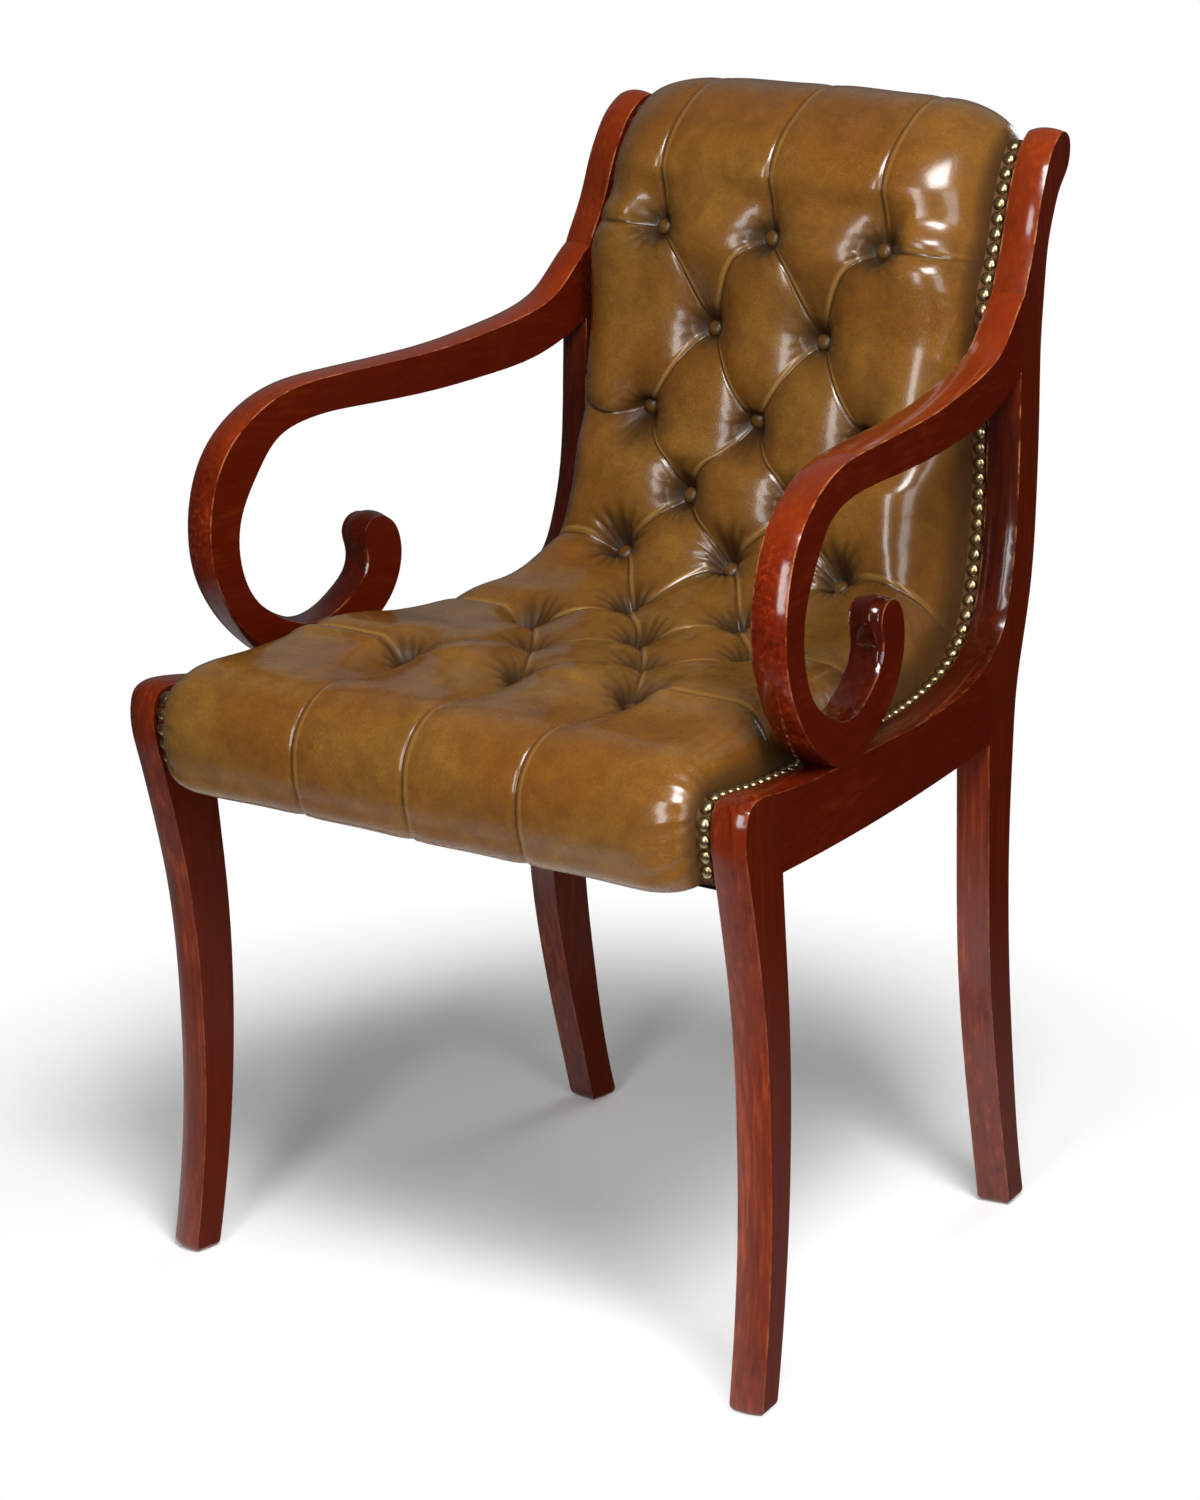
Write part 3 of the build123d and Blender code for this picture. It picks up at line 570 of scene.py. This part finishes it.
def grid_mesh(name, x, y, z, slash):
    """A closed pad: the grid of points, cut into triangles, over a flat underside."""
    rows, columns = x.shape
    number = np.arange(rows * columns).reshape(rows, columns)
    a, b = number[:-1, :-1], number[:-1, 1:]
    c, d = number[1:, 1:], number[1:, :-1]
    first = np.where(slash[..., None], np.stack([a, b, c], -1), np.stack([a, b, d], -1))
    second = np.where(slash[..., None], np.stack([a, c, d], -1), np.stack([b, c, d], -1))
    faces = np.concatenate([first.reshape(-1, 3), second.reshape(-1, 3)]).tolist()
    faces += np.stack([a[:, 0], d[:, 0], c[:, -1], b[:, -1]], -1).tolist()
    faces += [number[0, ::-1].tolist(), number[-1].tolist()]
    points = np.stack([x, y, z], -1).reshape(-1, 3) * MM
    points[:, 1] += DATUM_Y
    return new_piece(name, points.tolist(), faces)


def add_mask(piece, name, values):
    """A value for each vertex, for a material to read."""
    attribute = piece.data.attributes.new(name, "FLOAT", "POINT")
    attribute.data.foreach_set("value", np.ascontiguousarray(values, np.float32).ravel())


half_steps = np.floor((x[:-1, :-1] + x[:-1, 1:]) / BUTTON_SPACING).astype(int)
row_steps = np.floor(row[:-1, None] + 1e-6).astype(int)
pad = grid_mesh("buttoned_hide", x, y, z, (half_steps + row_steps) % 2 == 0)
# Painted shade in the funnels, less on the rolls
add_mask(pad, "funnel_shade", funnel_shading * (1 - to_roll * 0.6))
# Painted shade along the creases and the troughs of the gathers
add_mask(pad, "crease_shade", creases * rounding)
# Painted highlight along the fold edges and the crests of the gathers
add_mask(pad, "fold_highlight", fold_highlights * rounding)
# Darkening along the nails: painted shade where the hide rounds down to them, and old finish there
add_mask(pad, "edge", 1 - smooth(edge_distance / EDGE_SHADE))
# Darker down the valleys between the pillows: painted shade, with old finish left in the hollows
add_mask(pad, "valley", (1 - np.clip(pillow, 0, 1)) ** 0.75 * (1 - 0.5 * to_roll))

# The hide's own colour, gloss and grain, with painted shade and painted highlight laid on through its
# masks
hide, into, out = new_group("hide_finish_and_painted_light", {
    "Funnel_Shade": ("Float", 0.0), "Crease_Shade": ("Float", 0.0), "Fold_Highlight": ("Float", 0.0), "Edge": ("Float", 0.0),
    "Valley": ("Float", 0.0),
}, {"Color": "Color", "Roughness": "Float", "Height": "Float"})
spot = object_place(hide)
cloud = add_band(hide, add_noise(hide, spot, 7, 4, 0.55), 0.36, 0.66)
mottle = add_band(hide, add_noise(hide, spot, 48, 8, 0.7), 0.36, 0.66)
cells = add_node(hide, "TexVoronoi", {"Vector": spot, "Scale": 850.0}, feature="SMOOTH_F1")
grain = cells.outputs["Distance"]
pebble = add_noise(hide, spot, 1700, 3)
wrinkle = add_noise(hide, spot, 130, 5, 0.6)
from_scuff = add_math(hide, "SUBTRACT", add_noise(hide, spot, 22, 4, 0.6), 0.5)
from_scuff = add_math(hide, "ABSOLUTE", from_scuff)
scuff = add_node(hide, "MapRange", {
    "Value": from_scuff, "From Max": 0.0035, "To Min": 1.0, "To Max": 0.0}).outputs[0]
scuff = add_math(hide, "MULTIPLY", scuff, add_band(hide, add_noise(hide, spot, 9, 2), 0.5, 0.62))
colour = add_mix(hide, cloud, (0.190, 0.072, 0.0100, 1), (0.222, 0.106, 0.0180, 1))
colour = add_tints(hide, colour, [
    (mottle, 0.52, (0.105, 0.038, 0.0052, 1)),
    (add_band(hide, grain, 0.25, 0.6), 0.3, (0.075, 0.027, 0.0042, 1)),
    (scuff, 0.3, (0.36, 0.19, 0.05, 1)),
    # painted shade and old finish in the valleys
    (into["Valley"], 0.75, (0.070, 0.025, 0.0042, 1)),
    # painted highlight along the fold edges
    (into["Fold_Highlight"], 0.6, (0.36, 0.19, 0.050, 1)),
    # painted shade and old finish along the nails
    (into["Edge"], 0.75, (0.040, 0.016, 0.0035, 1)),
    # painted shade down the funnels
    (into["Funnel_Shade"], 0.98, (0.009, 0.0040, 0.0014, 1)),
    # painted shade in the creases
    (into["Crease_Shade"], 0.8, (0.022, 0.0085, 0.0025, 1)),
])
hide.links.new(colour, out["Color"])
gloss = add_range(hide, mottle, 0.20, 0.29)
gloss = add_math(hide, "ADD", gloss, add_math(hide, "MULTIPLY", into["Edge"], 0.4))
gloss = add_math(hide, "ADD", gloss, add_math(hide, "MULTIPLY", into["Funnel_Shade"], 0.25))
hide.links.new(gloss, out["Roughness"])
pores = add_math(hide, "MULTIPLY", grain, -0.5)
fine = add_math(hide, "ADD", pores, add_math(hide, "MULTIPLY", pebble, 0.3))
hide.links.new(add_math(hide, "ADD", fine, add_math(hide, "MULTIPLY", wrinkle, 1.6)), out["Height"])


def cover_in_hide(tree, shader, masks, depth, strength):
    """Links the hide's colour, gloss and grain to a shader, with the grain of that depth."""
    cover = add_node(tree, "Group", masks, node_tree=hide).outputs
    tree.links.new(cover["Color"], shader["Base Color"])
    tree.links.new(cover["Roughness"], shader["Roughness"])
    tree.links.new(add_bump(tree, cover["Height"], depth, strength), shader["Normal"])


def read_mask(tree, name):
    """The value that a piece's vertices hold under that name."""
    return add_node(tree, "Attribute", attribute_name=name).outputs["Fac"]


WAX = 0.60                      # weight of the wax on open leather, with none in the hollows
leather, tree, shader = new_material("buttoned_leather", Specular_IOR_Level=0.25, Coat_Roughness=0.16)
masks = {name.title(): read_mask(tree, name) for name in ("funnel_shade", "crease_shade", "fold_highlight", "edge", "valley")}
cover_in_hide(tree, shader, masks, 0.3 * MM, 0.6)
hidden = add_math(tree, "MAXIMUM", masks["Funnel_Shade"], masks["Edge"])
tree.links.new(add_range(tree, hidden, WAX, 0.0), shader["Coat Weight"])
pad.data.materials.append(leather)
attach(pad, "root")
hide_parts("seat_pad", "back_pad", "seat_foam", "back_foam")


# Buttons: tinned moulds covered in the same hide, drawn into the pads by a twine. Each dome
# is painted darker towards its foot, as painted shade where it sinks into the hide.

BUTTON_PROFILE = [(7.3, -1.0), (7.4, 0.3), (7.0, 1.6), (6.1, 2.8), (4.7, 3.8), (2.7, 4.5)]
BUTTON_TOP = 4.8
BUTTON_SIDES = 28


def islands(name):
    """Middle of the base and axis of each separate solid of a node, in order of vertices."""
    solid = bmesh.new()
    solid.from_mesh(nodes[name].data)
    bmesh.ops.remove_doubles(solid, verts=solid.verts, dist=1e-6)
    found = []
    met = set()
    for start in solid.verts:
        if start in met:
            continue
        met.add(start)
        group = [start]
        for vertex in group:
            for edge in vertex.link_edges:
                other = edge.other_vert(vertex)
                if other not in met:
                    met.add(other)
                    group.append(other)
        faces = [face for vertex in group for face in vertex.link_faces]
        flat = max(faces, key=lambda face: face.calc_area())
        level = [face for face in faces if face.normal.dot(flat.normal) > 0.999]
        area = sum(face.calc_area() for face in level)
        base = sum((face.calc_center_median() * face.calc_area() for face in level), Vector()) / area
        found.append((base, -flat.normal))
    solid.free()
    return found


def domes(name, places, profile, top, sides):
    """One mesh of small turned domes, with the profile (radius, height) in millimetres."""
    points = []
    faces = []
    rims = []
    for base, axis in places:
        turn = axis.to_track_quat("Z", "Y")
        start = len(points)
        for ring, (radius, level) in enumerate(profile):
            for k in range(sides):
                angle = 2 * math.pi * k / sides
                spot = Vector((radius * math.cos(angle), radius * math.sin(angle), level))
                points.append(base + turn @ spot * MM)
                rims.append(1 - ring / len(profile))
        points.append(base + turn @ Vector((0, 0, top)) * MM)
        rims.append(0)
        for ring in range(len(profile) - 1):
            for k in range(sides):
                near = start + ring * sides
                far = near + sides
                faces.append((near + k, near + (k + 1) % sides, far + (k + 1) % sides, far + k))
        rim = start + (len(profile) - 1) * sides
        faces += [(rim + k, rim + (k + 1) % sides, len(points) - 1) for k in range(sides)]
        faces.append([start + k for k in reversed(range(sides))])
    piece = new_piece(name, points, faces)
    add_mask(piece, "rim", np.array(rims))
    return piece


covered = domes("covered_buttons", islands("buttons"), BUTTON_PROFILE, BUTTON_TOP, BUTTON_SIDES)
button_hide, tree, shader = new_material("button_leather", Specular_IOR_Level=0.4)
# Painted shade round the foot of each dome
shadow = add_range(tree, read_mask(tree, "rim"), 0.45, 1.0)
cover_in_hide(tree, shader, {"Funnel_Shade": shadow}, 0.12 * MM, 0.5)
covered.data.materials.append(button_hide)
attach(covered, "root")
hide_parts("buttons")


# Nails: close-set domed heads of antiqued brass, driven through the hide into the liners.
# Each sits a little off true, and dark patina stays round its rim.

NAIL_PROFILE = [(5.35, 0.0), (5.5, 0.5), (5.2, 1.6), (4.5, 2.6), (3.4, 3.4), (1.9, 3.9)]
NAIL_TOP = 4.1
NAIL_SIDES = 20
NAIL_LEAN = 0.05                # how far a nail leans off true
hammer = np.random.default_rng(11)

brass, tree, shader = new_material("antique_brass", Metallic=1.0)
patina = add_noise(tree, object_place(tree), 300, 4, 0.6)
metal = add_mix(tree, add_band(tree, patina, 0.35, 0.7), (0.50, 0.38, 0.20, 1), (0.26, 0.18, 0.085, 1))
tarnish = add_band(tree, read_mask(tree, "rim"), 0.45, 1.0)
tree.links.new(add_mix(tree, tarnish, metal, (0.035, 0.022, 0.012, 1)), shader["Base Color"])
tree.links.new(add_range(tree, patina, 0.18, 0.42), shader["Roughness"])
for side_name in ("left", "right"):
    heads = []
    for base, axis in islands("nails_" + side_name):
        lean = Vector(hammer.normal(0, NAIL_LEAN, 3))
        heads.append((base, (axis + lean).normalized()))
    nails = domes("brass_nails_" + side_name, heads, NAIL_PROFILE, NAIL_TOP, NAIL_SIDES)
    nails.data.materials.append(brass)
    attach(nails, "root")
    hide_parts("nails_" + side_name)


# Outside back: a thin board faced with the same hide, let in between the uprights behind the
# webbing and lightly padded, so that it stands a little proud in the middle.

BACK_FRONT = 20.3               # from the ledge to the board
BACK_THICK = 3.0
BACK_DEPTH = 28.3               # its edges, from the outer face of a frame
BACK_LOW = 453.4
BACK_HIGH = 838
BACK_CROWN = 2.5
BACK_COLUMNS = 48

back_line = show_line[14:31] + (LEDGE + BACK_FRONT) * inward[14:31]
back_points = np.column_stack([to_y(back_line[:, 0], BACK_DEPTH), back_line[:, 1]])
fine = through(back_points, np.linspace(0, len(back_points) - 1, 400))
fine = fine[(fine[:, 1] > BACK_LOW) & (fine[:, 1] < BACK_HIGH)]
fine_run = np.gradient(fine, axis=0)
fine_run /= np.linalg.norm(fine_run, axis=1)[:, None]
behind = np.column_stack([fine_run[:, 1], -fine_run[:, 0]])
share = np.linspace(-1, 1, BACK_COLUMNS + 1)
level = np.linspace(-1, 1, len(fine))
swell = BACK_CROWN * ((1 - share ** 6) * (1 - level[:, None] ** 6))
back_x = half_width(fine[:, 0], BACK_DEPTH)[:, None] * share
thick = BACK_THICK - 1 + swell
back_y = fine[:, 0][:, None] + behind[:, 0][:, None] * thick
back_z = fine[:, 1][:, None] + behind[:, 1][:, None] * thick
slash = np.ones((len(fine) - 1, BACK_COLUMNS), bool)
outside = grid_mesh("outside_back_hide", back_x[:, ::-1], back_y, back_z, slash)
back_hide, tree, shader = new_material(
    "outside_leather", Specular_IOR_Level=0.5, Coat_Weight=0.2, Coat_Roughness=0.2)
cover_in_hide(tree, shader, {}, 0.16 * MM, 0.5)
outside.data.materials.append(back_hide)
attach(outside, "root")
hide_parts("outside_back")


# Dust cover: black cambric, stretched under the seat and tacked to the rails. It sags a
# little between its edges.

COVER_COLUMNS = 60
COVER_ROWS = 52
COVER_SAG = 2.0

cover_low, cover_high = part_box("dust_cover")
cover_front = cover_low.y / MM - DATUM_Y / MM
cover_rear = cover_high.y / MM - DATUM_Y / MM
cover_y = np.linspace(cover_front, cover_rear, COVER_ROWS + 1)[:, None]
share = np.linspace(-1, 1, COVER_COLUMNS + 1)
lengthwise = np.linspace(-1, 1, COVER_ROWS + 1)[:, None]
cover_x = half_width(cover_y, BACK_DEPTH) * share
sag = (1 - share ** 4) * (1 - lengthwise ** 4)
ripple = 0.3 * np.sin(cover_x / 9) * (1 - (1 - np.abs(lengthwise)) ** 0.5)
cover_z = cover_low.z / MM + 0.4 - COVER_SAG * sag + ripple * sag
number = np.arange(cover_x.size).reshape(cover_x.shape)
points = np.stack([cover_x, np.broadcast_to(cover_y, cover_x.shape), cover_z], -1).reshape(-1, 3) * MM
points[:, 1] += DATUM_Y
faces = np.stack([number[:-1, :-1], number[1:, :-1], number[1:, 1:], number[:-1, 1:]], -1)
cambric = new_piece("cambric_cover", points.tolist(), faces.reshape(-1, 4).tolist())
cloth, tree, shader = new_material("black_cambric", Specular_IOR_Level=0.2, Roughness=0.9)
weave = plain_weave(tree, 500.0, 0.6)
black = add_mix(tree, weave, (0.008, 0.008, 0.008, 1), (0.030, 0.029, 0.028, 1))
tree.links.new(black, shader["Base Color"])
tree.links.new(add_bump(tree, weave, 0.15 * MM), shader["Normal"])
cambric.data.materials.append(cloth)
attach(cambric, "root")
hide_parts("dust_cover")


# Studio: a white floor that runs out into a white background, soft lights above, in front, to
# the right and low behind, and a camera at eye level to the right of the chair's front.

FLOOR_RADIUS = 1.2
FLOOR_SIDES = 96
SHADOW_MIDDLE = (-0.16, 0.09, 0)
SHADOW_FADE = (0.26, 0.68)      # distances from there over which the floor turns plain white
GLOSS_FADE = (0.35, 1.15)       # and over which it is lost in the polish
rim_angles = [2 * math.pi * i / FLOOR_SIDES for i in range(FLOOR_SIDES)]
rim_points = [(FLOOR_RADIUS * math.cos(angle), FLOOR_RADIUS * math.sin(angle), 0) for angle in rim_angles]
floor = new_piece("studio_floor", rim_points, [range(FLOOR_SIDES)])
white, tree, shader = new_material("white_paper", Roughness=1.0, Specular_IOR_Level=0.0)
shader["Base Color"].default_value = (0.97, 0.97, 0.97, 1)
rays = add_node(tree, "LightPath").outputs
seen = add_math(tree, "MAXIMUM", rays["Is Camera Ray"], rays["Is Transmission Ray"])
from_middle = {0: object_place(tree), 1: SHADOW_MIDDLE}
away = add_node(tree, "VectorMath", from_middle, operation="DISTANCE").outputs["Value"]
glow = add_node(tree, "Emission", {"Strength": add_math(tree, "MULTIPLY", seen, 0.02)})
lit = add_node(tree, "AddShader", {0: tree.nodes["Principled BSDF"].outputs[0], 1: glow.outputs[0]})
plain = add_node(tree, "Emission", {"Strength": 1.0})
far_off = add_math(tree, "MULTIPLY", add_band(tree, away, *SHADOW_FADE), seen)
paper = add_node(tree, "MixShader", {0: far_off, 1: lit.outputs[0], 2: plain.outputs[0]})

# In the polish the floor fades out, so that its rim draws no line there
lost = add_math(tree, "MULTIPLY", add_band(tree, away, *GLOSS_FADE), rays["Is Glossy Ray"])
clear = add_node(tree, "BsdfTransparent")
faded = add_node(tree, "MixShader", {0: lost, 1: paper.outputs[0], 2: clear.outputs[0]})
tree.links.new(faded.outputs[0], tree.nodes["Material Output"].inputs["Surface"])
floor.data.materials.append(white)

# The backdrop is white to the camera, shows dimly in polish and metal, and lights the chair
# a little from behind
BACKDROP_IN_GLOSS = 0.05
BACKDROP_LIGHT = 0.15
FILL = 0.05
world = bpy.data.worlds.new("studio")
world.use_nodes = True
bpy.context.scene.world = world
tree = world.node_tree
rays = add_node(tree, "LightPath").outputs
toward = add_node(tree, "SeparateXYZ", {0: add_node(tree, "TexCoord").outputs["Generated"]}).outputs
back_half = add_band(tree, toward["Y"], -0.3, 0.9)
behind_chair = add_math(tree, "MULTIPLY", back_half, add_band(tree, toward["Z"], -0.2, 0.5))
in_gloss = add_math(tree, "MULTIPLY", behind_chair, rays["Is Glossy Ray"])
shown = add_math(tree, "MAXIMUM", rays["Is Camera Ray"], rays["Is Transmission Ray"])
shown = add_math(tree, "MAXIMUM", shown, add_math(tree, "MULTIPLY", in_gloss, BACKDROP_IN_GLOSS))
dim = add_math(tree, "ADD", add_math(tree, "MULTIPLY", behind_chair, BACKDROP_LIGHT), FILL)
strength = add_node(tree, "Mix", {0: shown, 2: dim, 3: 1.0}, data_type="FLOAT").outputs[0]
tree.links.new(strength, tree.nodes["Background"].inputs["Strength"])
tree.nodes["Background"].inputs["Color"].default_value = (1, 1, 1, 1)


def softbox(name, place, target, wide, tall, power):
    """A soft rectangular light, facing its target."""
    light = bpy.data.lights.new(name, "AREA")
    light.shape = "RECTANGLE"
    light.size = wide
    light.size_y = tall
    light.energy = power
    lamp = bpy.data.objects.new(name, light)
    lamp.location = place
    lamp.rotation_euler = (Vector(target) - Vector(place)).to_track_quat("-Z", "Y").to_euler()
    bpy.context.scene.collection.objects.link(lamp)


softbox("key_box", (1.25, -1.10, 2.45), (0, 0, 0.45), 0.9, 0.9, 72)
softbox("front_strip", (0.62, -2.42, 1.40), (0, 0, 0.65), 0.55, 1.6, 30)
softbox("right_strip", (2.15, -1.15, 1.25), (0, 0, 0.55), 0.80, 1.4, 18)
softbox("back_box", (0.00, 2.50, 0.70), (0, 0.1, 0.60), 1.0, 0.8, 18)

SENSOR = 36
CAMERA_PLACE = (1.9966, -2.7091, 1.4129)
CAMERA_RIGHT = (0.8042, 0.5941, -0.0169)
CAMERA_UP = (-0.1568, 0.2396, 0.9581)
CAMERA_BACK = (0.5733, -0.7679, 0.2859)
FOCAL_PIXELS = 4486.7           # on the 1200 by 1500 picture
PICTURE_LONG = 1500
CAMERA_SHIFT = (-0.0132, -0.0096)
camera_data = bpy.data.cameras.new("camera")
camera_data.sensor_width = SENSOR
camera_data.lens = SENSOR * FOCAL_PIXELS / PICTURE_LONG
camera_data.shift_x, camera_data.shift_y = CAMERA_SHIFT
camera = bpy.data.objects.new("camera", camera_data)
turned = Matrix((CAMERA_RIGHT, CAMERA_UP, CAMERA_BACK)).transposed()
camera.matrix_world = Matrix.Translation(CAMERA_PLACE) @ turned.to_4x4()
bpy.context.scene.collection.objects.link(camera)
bpy.context.scene.camera = camera
bpy.context.scene.view_settings.view_transform = "Standard"
